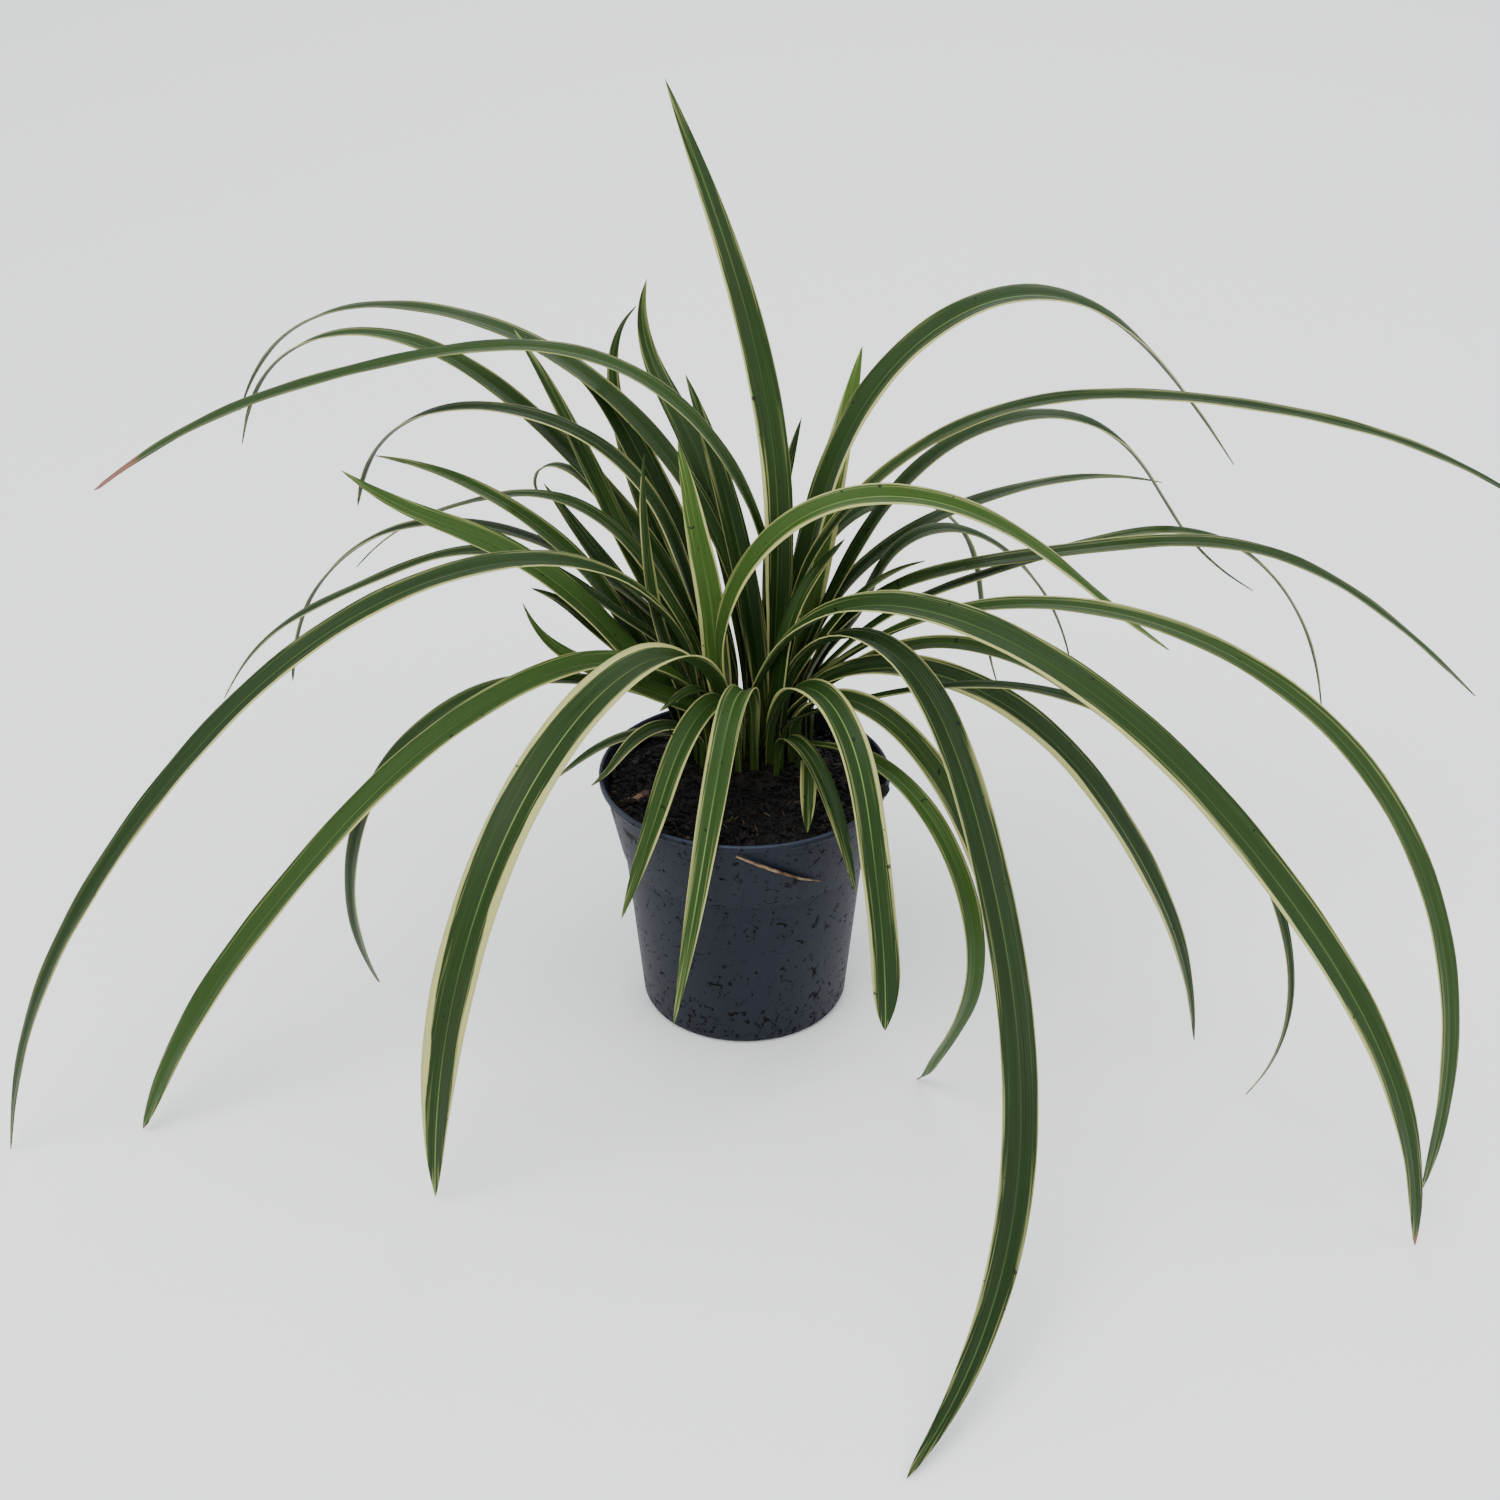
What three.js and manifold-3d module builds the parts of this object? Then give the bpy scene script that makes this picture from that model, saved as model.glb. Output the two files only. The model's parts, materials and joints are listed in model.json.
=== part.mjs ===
// A variegated sedge in a round nursery pot: the pot, the potting mix, the crown and every leaf blade.
// Millimetres, +Z up. The centre of the pot's flat base is the origin and the front of the plant faces -Y.

import * as THREE from "three";
import { mergeVertices } from "three/addons/utils/BufferGeometryUtils.js";
import Module from "manifold-3d";

// The pot: a thin moulded wall with a flared collar above a small ledge.
const potHeight = 94;
const rimRadius = 52.5;
const ledgeHeight = 63;
const ledgeRadius = 44.6;
const ledgeStep = 0.9;
const footRadius = 37.5;
const footRounding = 2.5;
const potWall = 1.2;
const lipHeight = 3;
const potFloor = 1.6;
const potSegments = 64;
const drainHoles = 6;
const drainRadius = 4;
const drainCircle = 25;

// The potting mix: nearly fills the pot and is heaped a little towards the crown.
const pieceGap = 0.3;
const mixEdgeHeight = 85.5;
const mixSeatHeight = 88.5;
const mixBump = 0.9;
const mixSegments = 48;
const mixRings = [8, 16, 24, 31, 37, 42, 46];

// The crown: the low woody base that every blade springs from.
const crownCentre = [0, 15];
const crownLength = 52;
const crownDepth = 42;
const crownRise = 5;
const crownSegments = 24;
const crownRings = 4;

// Every blade: a V in section, closed up near the crown and nearly flat further out.
const bladeStations = 20;
const bladeThickness = 0.8;
const tipThickness = 0.5;
const stemClimb = 86;
const baseWidthShare = 0.45;
const baseFold = 46;
const openFold = 14;
const usualTip = 0.5;
const clearance = 0.15;
const floorClearance = 0.6;

const colours = {
  pot: "#2f3642",
  mix: "#1d1714",
  crown: "#8d8a52",
  blade: "#2f5a31",
  freshBlade: "#6d8f35",
};

// The blades. root: where it leaves the crown. facing: compass angle, 0 right, 90 back, 180 left, 270 front.
// stem: the steep stretch in its sheath. length: the free blade beyond that.
// arch: how steeply the free blade climbs at its start, each quarter of its length and its tip, in degrees.
// turn: how far it swings round by its tip. roll: how far its left edge is lifted, at the base and the tip.
// tip: the share of the blade that narrows to its point. fresh: a young yellow-green blade.
const blades = [
  { name: "leaf_left_1", root: [-17, 16], facing: 206, stem: 39, length: 374, width: 11,
    arch: [64, 2, -36, -55, -80], roll: [-8, -8], tip: 0.4 },
  { name: "leaf_right_1", root: [2, 10], facing: 324, stem: 22, length: 386, width: 13,
    arch: [70, 5, -31, -52, -86], roll: [15, 18], tip: 0.35 },
  { name: "leaf_front_left_1", root: [-8, 5], facing: 234, stem: 28, length: 266, width: 17,
    arch: [61, -5, -45, -70, -86], roll: [0, -8], tip: 0.3 },
  { name: "leaf_front_right_1", root: [14, 8], facing: 325, turn: -92, stem: 34, length: 350, width: 12,
    arch: [60, -40, -42, -25, -15], roll: [0, 12], tip: 0.35 },
  { name: "leaf_left_2", root: [-12, 12], facing: 207, stem: 17, length: 290, width: 12,
    arch: [57, -8, -37, -48, -64], roll: [-8, -10], tip: 0.22 },
  { name: "leaf_right_2", root: [12, 12], facing: 340, stem: 12, length: 245, width: 13,
    arch: [58, 0, -43, -62, -82], roll: [15, 12], tip: 0.4 },
  { name: "leaf_right_3", root: [13, 25], facing: 25, turn: -15, stem: 19, length: 296, width: 13,
    arch: [80, 74, 30, -39, -55], roll: [18, 0], tip: 0.35 },
  { name: "leaf_back_1", root: [13, 24], facing: 128, stem: 19, length: 226, width: 11,
    arch: [93, 89, 72, 58, 54], roll: [-10, -30] },
  { name: "leaf_left_3", root: [-14, 9], facing: 192, turn: 35, stem: 16, length: 218, width: 9,
    arch: [31, 14, -32, -79, -110], roll: [-5, 10], tip: 0.22 },
  { name: "leaf_left_4", root: [-18, 20], facing: 175, stem: 33, length: 206, width: 8,
    arch: [34, 33, -20, -31, -62], tip: 0.3 },
  { name: "leaf_right_4", root: [14, 22], facing: 12, turn: -8, stem: 20, length: 350, width: 8,
    arch: [94, 44, -1, -16, -32], roll: [0, 10], tip: 0.3 },
  { name: "leaf_right_5", root: [16, 16], facing: 338, turn: -28, stem: 17, length: 396, width: 9,
    arch: [50, 18, -21, -70, -96], roll: [5, 12], tip: 0.25 },
  { name: "leaf_right_6", root: [16, 18], facing: 6, stem: 18, length: 302, width: 9,
    arch: [71, 13, 1, -33, -44], roll: [0, 8], tip: 0.25 },
  { name: "leaf_right_7", root: [18, 22], facing: 18, turn: -12, stem: 27, length: 252, width: 10,
    arch: [67, 57, 7, -57, -33] },
  { name: "leaf_left_5", root: [8, 28], facing: 167, stem: 14, length: 368, width: 9,
    arch: [99, 60, -5, -22, -37], roll: [0, -12], tip: 0.2 },
  { name: "leaf_back_left_1", root: [-10, 28], facing: 155, stem: 15, length: 283, width: 10,
    arch: [76, 48, 28, -18, -75], roll: [-10, 0] },
  { name: "leaf_back_left_2", root: [2, 28], facing: 150, stem: 21, length: 320, width: 10,
    arch: [88, 50, 12, -18, -64], roll: [-5, 0] },
  { name: "leaf_centre_1", root: [-3, 12], facing: 5, stem: 15, length: 245, width: 12,
    arch: [108, 60, -6, -40, -38], roll: [15, 10] },
  { name: "leaf_back_left_5", root: [-5, 19], facing: 159, stem: 20, length: 226, width: 9,
    arch: [66, 70, 19, -21, -77], tip: 0.35 },
  { name: "leaf_back_left_6", root: [-14, 33], facing: 135, stem: 22, length: 150, width: 8,
    arch: [72, 60, 64, 84, 138], roll: [-20, 0] },
  { name: "leaf_back_left_4", root: [-14, 24], facing: 145, stem: 23, length: 143, width: 8,
    arch: [65, 58, 58, 52, 40], roll: [-15, -15] },
  { name: "leaf_left_8", root: [-10, 22], facing: 155, stem: 34, length: 191, width: 7,
    arch: [65, 45, -12, -30, -48] },
  { name: "leaf_centre_2", root: [-14, 14], facing: 150, stem: 20, length: 94, width: 7,
    arch: [70, 70, 76, 80, 88] },
  { name: "leaf_front_right_5", root: [23, -5], facing: 268, stem: 10, length: 36, width: 6,
    arch: [40, -20, -30, -20, -10] },
  { name: "leaf_centre_4", root: [7, 16], facing: 20, stem: 25, length: 65, width: 8,
    arch: [88, 84, 66, 40, 24], roll: [15, 15] },
  { name: "leaf_front_1", root: [3, 1], facing: 253, stem: 20, length: 134, width: 10,
    arch: [70, -40, -54, -50, -40], tip: 0.6 },
  { name: "leaf_front_2", root: [10, 5], facing: 295, stem: 16, length: 180, width: 11,
    arch: [65, 15, -62, -75, -88], roll: [10, 0], tip: 0.12 },
  { name: "leaf_front_left_2", root: [-3, 2], facing: 238, stem: 20, length: 106, width: 9,
    arch: [75, -10, -52, -53, -52], roll: [-10, -10] },
  { name: "leaf_front_right_2", root: [18, 8], facing: 315, stem: 13, length: 139, width: 10,
    arch: [68, 11, -31, -58, -80], roll: [10, 10], tip: 0.3 },
  { name: "leaf_front_right_3", root: [20, 5], facing: 303, stem: 8, length: 212, width: 8,
    arch: [28, 2, -56, -112, -116], tip: 0.25 },
  { name: "leaf_back_2", root: [16, 22], facing: 60, stem: 20, length: 127, width: 13,
    arch: [83, 67, 69, 60, 58], roll: [50, 45], fresh: true },
  { name: "leaf_back_3", root: [2, 28], facing: 125, stem: 18, length: 160, width: 10,
    arch: [90, 69, 53, 42, 115], roll: [-25, -25] },
  { name: "leaf_back_left_3", root: [-3, 26], facing: 145, stem: 22, length: 145, width: 12,
    arch: [75, 63, 59, 46, -4], roll: [-25, -25] },
  { name: "leaf_back_left_7", root: [-12, 28], facing: 155, stem: 22, length: 126, width: 8,
    arch: [67, 62, 57, 20, -112] },
  { name: "leaf_left_6", root: [-19, 22], facing: 165, stem: 21, length: 150, width: 9,
    arch: [42, 62, 40, 16, -8], roll: [-10, -10] },
  { name: "leaf_left_7", root: [-18, 17], facing: 185, stem: 19, length: 153, width: 11,
    arch: [48, 52, 38, 23, 38], roll: [-25, -25], fresh: true, tip: 0.4 },
  { name: "leaf_left_9", root: [-16, 20], facing: 165, stem: 26, length: 217, width: 7,
    arch: [52, 29, -3, -48, -86], tip: 0.35 },
  { name: "leaf_left_10", root: [-14, 15], facing: 185, stem: 25, length: 72, width: 9,
    arch: [18, 25, 20, 34, 68], roll: [-20, -20], fresh: true },
  { name: "leaf_left_11", root: [-18, 20], facing: 170, stem: 23, length: 69, width: 8,
    arch: [44, 46, 31, 26, -5], roll: [-20, -20] },
  { name: "leaf_back_left_8", root: [-18, 24], facing: 145, stem: 20, length: 92, width: 8,
    arch: [40, 50, 43, 43, 44], roll: [-20, -20] },
  { name: "leaf_back_left_9", root: [-20, 23], facing: 155, stem: 20, length: 80, width: 7,
    arch: [46, 36, 41, 48, 68] },
  { name: "leaf_centre_3", root: [-7, 11], facing: 125, stem: 23, length: 93, width: 10,
    arch: [72, 82, 71, 71, 66], roll: [-40, -40], fresh: true },
  { name: "leaf_back_4", root: [0, 26], facing: 125, stem: 18, length: 117, width: 9,
    arch: [86, 77, 72, 67, 62], roll: [-20, -20] },
  { name: "leaf_right_8", root: [20, 22], facing: 25, stem: 26, length: 175, width: 8,
    arch: [80, 36, 12, -1, -18] },
  { name: "leaf_right_9", root: [20, 26], facing: 12, stem: 36, length: 162, width: 8,
    arch: [40, 62, -22, -58, -77] },
  { name: "leaf_right_10", root: [16, 28], facing: 20, stem: 18, length: 180, width: 8,
    arch: [74, 65, -12, -81, -75] },
  { name: "leaf_right_11", root: [18, 20], facing: 10, stem: 21, length: 263, width: 6,
    arch: [52, 18, 7, -48, -79], tip: 0.3 },
  { name: "leaf_right_12", root: [16, 14], facing: 355, stem: 18, length: 150, width: 8,
    arch: [45, 30, -12, -38, -40], roll: [10, 10] },
  { name: "leaf_right_13", root: [14, 14], facing: 337, turn: -26, stem: 18, length: 306, width: 6,
    arch: [28, 17, -25, -72, -117] },
  { name: "leaf_front_left_3", root: [-11, 9], facing: 215, stem: 28, length: 31, width: 7,
    arch: [77, 43, -18, -49, -55] },
  { name: "leaf_left_12", root: [-18, 9], facing: 188, stem: 8, length: 54, width: 7,
    arch: [25, 3, -18, -33, -39] },
  { name: "leaf_left_13", root: [-14, 5], facing: 200, stem: 8, length: 49, width: 8,
    arch: [44, 15, -25, -43, -20] },
  { name: "leaf_front_right_4", root: [12, 0], facing: 297, stem: 8, length: 76, width: 7,
    arch: [60, 0, -35, -50, -60] },
  { name: "leaf_back_5", root: [11, 26], facing: 60, stem: 20, length: 101, width: 7,
    arch: [80, 88, 86, 72, 70], roll: [30, 30] },
  { name: "leaf_right_14", root: [18, 19], facing: 10, stem: 22, length: 68, width: 6,
    arch: [64, 59, 51, 36, 18] },
];

const wasm = await Module();
wasm.setup();

const radians = THREE.MathUtils.degToRad;
const mix = THREE.MathUtils.lerp;
const ease = THREE.MathUtils.smoothstep;

function solidOf(geometry) {
  const bare = new THREE.BufferGeometry();
  const loose = geometry.index ? geometry.toNonIndexed() : geometry;
  bare.setAttribute("position", loose.getAttribute("position"));
  const merged = mergeVertices(bare, 1e-3);
  return new wasm.Manifold(
    new wasm.Mesh({
      numProp: 3,
      vertProperties: merged.attributes.position.array,
      triVerts: new Uint32Array(merged.index.array),
    }),
  );
}

function geometryOf(solid) {
  const mesh = solid.getMesh();
  const geometry = new THREE.BufferGeometry();
  geometry.setAttribute("position", new THREE.BufferAttribute(mesh.vertProperties, 3));
  geometry.setIndex(new THREE.BufferAttribute(mesh.triVerts, 1));
  return geometry;
}

function meshOf(name, geometry, colour, roughness) {
  const flat = geometry.index ? geometry.toNonIndexed() : geometry;
  flat.computeVertexNormals();
  const mesh = new THREE.Mesh(flat, new THREE.MeshStandardMaterial({ color: colour, roughness, metalness: 0 }));
  mesh.name = name;
  return mesh;
}

// A closed outline of [radius, height] pairs spun about the pot's upright axis.
function spun(outline, segments) {
  const points = outline.map(([radius, height]) => new THREE.Vector2(radius, height));
  return new THREE.LatheGeometry(points, segments).rotateX(Math.PI / 2);
}

function potOuterRadius(height) {
  if (height < ledgeHeight) {
    return mix(footRadius, ledgeRadius - ledgeStep, height / ledgeHeight);
  }
  return mix(ledgeRadius, rimRadius, (height - ledgeHeight) / (potHeight - ledgeHeight));
}

function makePot() {
  const round = footRounding;
  const lipFoot = potHeight - lipHeight;
  const outline = [
    [0, 0],
    [footRadius - round, 0],
    [footRadius - 0.3 * round, 0.3 * round],
    [potOuterRadius(round), round],
    [potOuterRadius(ledgeHeight - 0.01), ledgeHeight],
    [ledgeRadius, ledgeHeight + 0.8],
    [potOuterRadius(lipFoot) - 0.5, lipFoot],
    [rimRadius, lipFoot + 0.8],
    [rimRadius, potHeight - 0.5],
    [rimRadius - 0.5, potHeight],
    [rimRadius - 1.2, potHeight],
    [rimRadius - potWall - 1.2, lipFoot],
    [ledgeRadius - potWall, ledgeHeight + 0.4],
    [ledgeRadius - ledgeStep - potWall, ledgeHeight - 0.8],
    [potOuterRadius(potFloor) - potWall, potFloor],
    [0, potFloor],
  ];
  let pot = solidOf(spun(outline, potSegments));
  for (let i = 0; i < drainHoles; i++) {
    const turn = ((i + 0.5) / drainHoles) * 2 * Math.PI;
    const hole = new THREE.CylinderGeometry(drainRadius, drainRadius, 4 * potFloor, 12);
    hole.rotateX(Math.PI / 2);
    hole.translate(drainCircle * Math.cos(turn), drainCircle * Math.sin(turn), 0);
    pot = pot.subtract(solidOf(hole));
  }
  return meshOf("pot", geometryOf(pot), colours.pot, 0.5);
}

// The height of the potting mix: level under the crown and lumpy around it.
function mixHeight(x, y) {
  const seatX = (x - crownCentre[0]) / (crownLength / 2 + 1);
  const seatY = (y - crownCentre[1]) / (crownDepth / 2 + 1);
  const outside = ease(Math.hypot(seatX, seatY), 1.05, 1.5);
  const slope = ease(Math.hypot(x, y), 18, 48);
  const lumps = Math.sin(0.31 * x + 1) * Math.sin(0.27 * y) + 0.6 * Math.sin(0.53 * x - 0.41 * y);
  return mixSeatHeight + outside * (slope * (mixEdgeHeight - mixSeatHeight) + mixBump * lumps);
}

function makeMix() {
  const gap = potWall + pieceGap + 0.1;
  const wall = (height) => potOuterRadius(height) - gap;
  const side = [
    [wall(potFloor) - 2, potFloor + pieceGap],
    [wall(potFloor + 2), potFloor + 2],
    [wall(ledgeHeight - 1.5), ledgeHeight - 1.5],
    [wall(ledgeHeight + 1) - 0.2, ledgeHeight + 1],
    [wall(mixEdgeHeight) - 0.6, mixEdgeHeight - 1.5],
  ];
  const top = [...mixRings].reverse().map((radius) => [radius, mixSeatHeight]);
  const geometry = spun([[0, potFloor + pieceGap], ...side, ...top, [0, mixSeatHeight]], mixSegments);
  const position = geometry.attributes.position;
  for (let i = 0; i < position.count; i++) {
    if (position.getZ(i) > mixSeatHeight - 0.1) {
      position.setZ(i, mixHeight(position.getX(i), position.getY(i)));
    }
  }
  return meshOf("potting_mix", geometry, colours.mix, 0.95);
}

function makeCrown() {
  const outline = [[0, 0]];
  for (let i = 0; i <= crownRings; i++) {
    const climb = (i / crownRings) * (Math.PI / 2);
    outline.push([i === crownRings ? 0 : Math.cos(climb), Math.sin(climb)]);
  }
  const geometry = spun(outline, crownSegments);
  geometry.scale(crownLength / 2, crownDepth / 2, crownRise);
  geometry.translate(crownCentre[0], crownCentre[1], mixSeatHeight + pieceGap);
  return meshOf("crown", geometry, colours.crown, 0.8);
}

// A value read from a list of evenly spaced ones, passing smoothly through each of them.
function along(values, share) {
  const points = values.map((value, i) => new THREE.Vector3(i, value, 0));
  const place = share * (values.length - 1);
  const i = Math.min(Math.floor(place), values.length - 2);
  const before = points[Math.max(i - 1, 0)].y;
  const after = points[Math.min(i + 2, values.length - 1)].y;
  const [from, to, t] = [points[i].y, points[i + 1].y, place - i];
  const bend = 0.5 * (to - before) * (1 - t) - 0.5 * (after - from) * t;
  return mix(from, to, t) + t * (1 - t) * (bend - (to - from) * (1 - 2 * t));
}

// The height at which a blade leaves the crown, just clear of its domed top.
function rootHeight([x, y]) {
  const outX = (x - crownCentre[0]) / (crownLength / 2);
  const outY = (y - crownCentre[1]) / (crownDepth / 2);
  const dome = Math.sqrt(Math.max(0, 1 - outX * outX - outY * outY));
  return mixSeatHeight + pieceGap + crownRise * dome + 1;
}

// The middle line of a blade. shift moves its root sideways, bow lifts its middle and swing pushes it round.
function middleLine(blade, { shift, bow, swing }) {
  const steps = 6 * bladeStations;
  const whole = blade.stem + blade.length;
  const point = new THREE.Vector3(blade.root[0], blade.root[1], rootHeight(blade.root));
  const fine = [point.clone()];
  for (let i = 0; i < steps; i++) {
    const gone = ((i + 0.5) / steps) * whole;
    const free = Math.max(0, (gone - blade.stem) / blade.length);
    const sheathed = ease(gone, 0.5 * blade.stem, 1.5 * blade.stem);
    const climb = radians(mix(stemClimb, along(blade.arch, free), sheathed));
    const facing = radians(blade.facing + (blade.turn ?? 0) * free);
    const ahead = new THREE.Vector3(Math.cos(facing), Math.sin(facing), 0).multiplyScalar(Math.cos(climb));
    point.addScaledVector(ahead.setZ(Math.sin(climb)), whole / steps);
    fine.push(point.clone());
  }
  const aside = radians(blade.facing + 90);
  return Array.from({ length: bladeStations + 1 }, (_, i) => {
    const share = i / bladeStations;
    const middle = 4 * share * (1 - share);
    const rooted = (1 - share) ** 2;
    const place = fine[6 * i];
    return new THREE.Vector3(
      place.x + shift[0] * rooted + Math.cos(aside) * swing * middle,
      place.y + shift[1] * rooted + Math.sin(aside) * swing * middle,
      Math.max(place.z + bow * middle, floorClearance),
    );
  });
}

function halfWidth(blade, share) {
  const tip = blade.tip ?? usualTip;
  const opening = mix(baseWidthShare, 1, ease(share, 0, 0.3));
  const narrowing = 1 - Math.max(0, (share - 1 + tip) / tip) ** 2;
  return 0.5 * blade.width * opening * narrowing;
}

// The closed surface of a blade: four edges per station, a point at the tip. grow thickens it all round.
function bladeGeometry(blade, line, grow) {
  const rings = [];
  for (let i = 0; i < bladeStations; i++) {
    const share = i / bladeStations;
    const ahead = line[i + 1].clone().sub(line[Math.max(i - 1, 0)]).normalize();
    const facing = radians(blade.facing + (blade.turn ?? 0) * share);
    const left = new THREE.Vector3(-Math.sin(facing), Math.cos(facing), 0);
    left.addScaledVector(ahead, -left.dot(ahead)).normalize();
    const roll = blade.roll ?? [0, 0];
    left.applyAxisAngle(ahead, radians(mix(roll[0], roll[1], share)));
    const up = ahead.clone().cross(left);
    const fold = radians(mix(baseFold, openFold, ease(share, 0, 0.35)));
    const reach = halfWidth(blade, share) + grow;
    const thick = mix(bladeThickness, tipThickness, share) / 2 + 1.4 * grow;
    const out = left.clone().multiplyScalar(Math.cos(fold) * reach);
    const lift = up.clone().multiplyScalar(Math.sin(fold) * reach);
    rings.push([
      line[i].clone().add(out).add(lift),
      line[i].clone().addScaledVector(up, thick),
      line[i].clone().sub(out).add(lift),
      line[i].clone().addScaledVector(up, -thick),
    ]);
  }
  const corners = [];
  const face = (...points) => points.forEach((point) => corners.push(point.x, point.y, point.z));
  face(rings[0][0], rings[0][3], rings[0][1]);
  face(rings[0][1], rings[0][3], rings[0][2]);
  for (let i = 0; i < bladeStations - 1; i++) {
    for (let k = 0; k < 4; k++) {
      const next = (k + 1) % 4;
      face(rings[i][k], rings[i + 1][next], rings[i + 1][k]);
      face(rings[i][k], rings[i][next], rings[i + 1][next]);
    }
  }
  const last = rings[bladeStations - 1];
  for (let k = 0; k < 4; k++) {
    face(last[k], last[(k + 1) % 4], line[bladeStations]);
  }
  const geometry = new THREE.BufferGeometry();
  geometry.setAttribute("position", new THREE.Float32BufferAttribute(corners, 3));
  geometry.computeBoundingBox();
  return geometry;
}

// Small changes to a blade's middle line, the slightest first.
function listNudges() {
  const shifts = [[0, 0]];
  for (let ring = 1; ring <= 10; ring++) {
    for (let i = 0; i < 8; i++) {
      const turn = (i / 8) * 2 * Math.PI;
      shifts.push([ring * Math.cos(turn), ring * Math.sin(turn)]);
    }
  }
  const nudges = [];
  for (const shift of shifts) {
    for (const bow of [0, 3, -3, 6, -6, 9, -9]) {
      for (const swing of [0, 4, -4, 8, -8, 12, -12]) {
        const cost = Math.hypot(...shift) + Math.abs(bow) + Math.abs(swing);
        nudges.push({ shift, bow, swing, cost });
      }
    }
  }
  return nudges.sort((a, b) => a.cost - b.cost);
}

function overlap(wide, solid, other) {
  if (!other.box.intersectsBox(wide.boundingBox)) {
    return false;
  }
  const shared = solid.intersect(other.solid);
  const empty = shared.isEmpty();
  shared.delete();
  return !empty;
}

// Puts a blade where it clears all the pieces already placed, by the slightest nudge that does it.
function placeBlade(blade, placed, nudges) {
  for (const nudge of nudges) {
    const line = middleLine(blade, nudge);
    const wide = bladeGeometry(blade, line, clearance);
    const solid = solidOf(wide);
    const inTheWay = placed.findIndex((other) => overlap(wide, solid, other));
    solid.delete();
    if (inTheWay < 0) {
      return bladeGeometry(blade, line, 0);
    }
    // The piece in the way is asked first next time.
    placed.unshift(...placed.splice(inTheWay, 1));
  }
  throw new Error(blade.name + " has no clear place");
}

function makePlant() {
  const plant = new THREE.Group();
  plant.name = "potted_sedge";
  plant.add(makePot(), makeMix(), makeCrown());
  const placed = plant.children.map((mesh) => {
    mesh.geometry.computeBoundingBox();
    return { box: mesh.geometry.boundingBox, solid: solidOf(mesh.geometry) };
  });
  const nudges = listNudges();
  for (const blade of blades) {
    const geometry = placeBlade(blade, placed, nudges);
    placed.push({ box: geometry.boundingBox, solid: solidOf(geometry) });
    const colour = blade.fresh ? colours.freshBlade : colours.blade;
    plant.add(meshOf(blade.name, geometry, colour, 0.45));
  }
  return plant;
}

export default makePlant();
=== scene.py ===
import json
import math
import random
import bpy
import bmesh
from mathutils import Matrix, Vector, noise
from mathutils.bvhtree import BVHTree


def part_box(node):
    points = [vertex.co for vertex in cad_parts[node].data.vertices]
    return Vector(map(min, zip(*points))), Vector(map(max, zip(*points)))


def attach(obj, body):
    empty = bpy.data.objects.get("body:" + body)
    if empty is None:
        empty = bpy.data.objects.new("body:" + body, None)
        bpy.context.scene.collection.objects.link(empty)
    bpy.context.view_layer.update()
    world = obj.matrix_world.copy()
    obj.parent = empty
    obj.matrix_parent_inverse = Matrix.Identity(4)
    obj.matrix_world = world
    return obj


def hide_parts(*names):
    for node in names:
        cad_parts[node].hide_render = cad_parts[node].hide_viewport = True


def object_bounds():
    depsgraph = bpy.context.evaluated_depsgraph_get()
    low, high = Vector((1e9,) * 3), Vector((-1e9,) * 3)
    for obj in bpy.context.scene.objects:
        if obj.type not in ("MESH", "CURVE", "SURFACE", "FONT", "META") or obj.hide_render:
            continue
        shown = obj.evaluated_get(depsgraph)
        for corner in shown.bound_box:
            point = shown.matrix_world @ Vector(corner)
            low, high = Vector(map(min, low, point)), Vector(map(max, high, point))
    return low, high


# a variegated sedge in its nursery pot: the pot, mix, litter, blades and crown, then the stage and camera
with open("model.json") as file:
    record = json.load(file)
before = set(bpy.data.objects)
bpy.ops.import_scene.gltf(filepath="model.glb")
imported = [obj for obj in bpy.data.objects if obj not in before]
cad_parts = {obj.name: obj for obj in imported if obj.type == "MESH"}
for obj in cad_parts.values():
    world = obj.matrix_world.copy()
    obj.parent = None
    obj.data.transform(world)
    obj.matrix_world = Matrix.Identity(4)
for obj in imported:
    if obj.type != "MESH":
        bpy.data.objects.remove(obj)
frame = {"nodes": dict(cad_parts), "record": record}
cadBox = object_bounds()
nodes = frame["nodes"]
slotOf = {entry["node"]: entry["material_slot"] for entry in frame["record"]["subparts"]}
print("frame loaded:", len(nodes), "nodes")


# small helpers

def linearColour(hexText):
    channels = [int(hexText[i:i + 2], 16) / 255 for i in (1, 3, 5)]
    return [c / 12.92 if c <= 0.04045 else ((c + 0.055) / 1.055) ** 2.4 for c in channels] + [1]


def addNode(tree, kind, settings=None, sockets=None):
    # sockets, by name or number, take another node's output, a number or a colour
    node = tree.nodes.new(kind)
    for name, value in (settings or {}).items():
        if name == "stops":
            node.color_ramp.interpolation = "EASE"
            while len(node.color_ramp.elements) < len(value):
                node.color_ramp.elements.new(0.5)
            for element, (place, shade) in zip(node.color_ramp.elements, value):
                element.position = place
                element.color = linearColour(shade) if isinstance(shade, str) else [shade, shade, shade, 1]
        elif isinstance(name, int) or name in node.inputs:
            node.inputs[name].default_value = value
        else:
            setattr(node, name, value)
    for name, source in (sockets or {}).items():
        if isinstance(source, bpy.types.NodeSocket):
            tree.links.new(source, node.inputs[name])
        else:
            node.inputs[name].default_value = linearColour(source) if isinstance(source, str) else source
    return node


def newMaterial(name, roughness, specular):
    material = bpy.data.materials.new(name)
    material.use_nodes = True
    tree = material.node_tree
    shader = tree.nodes["Principled BSDF"]
    shader.inputs["Roughness"].default_value = roughness
    shader.inputs["Specular IOR Level"].default_value = specular
    return material, tree, shader


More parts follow.
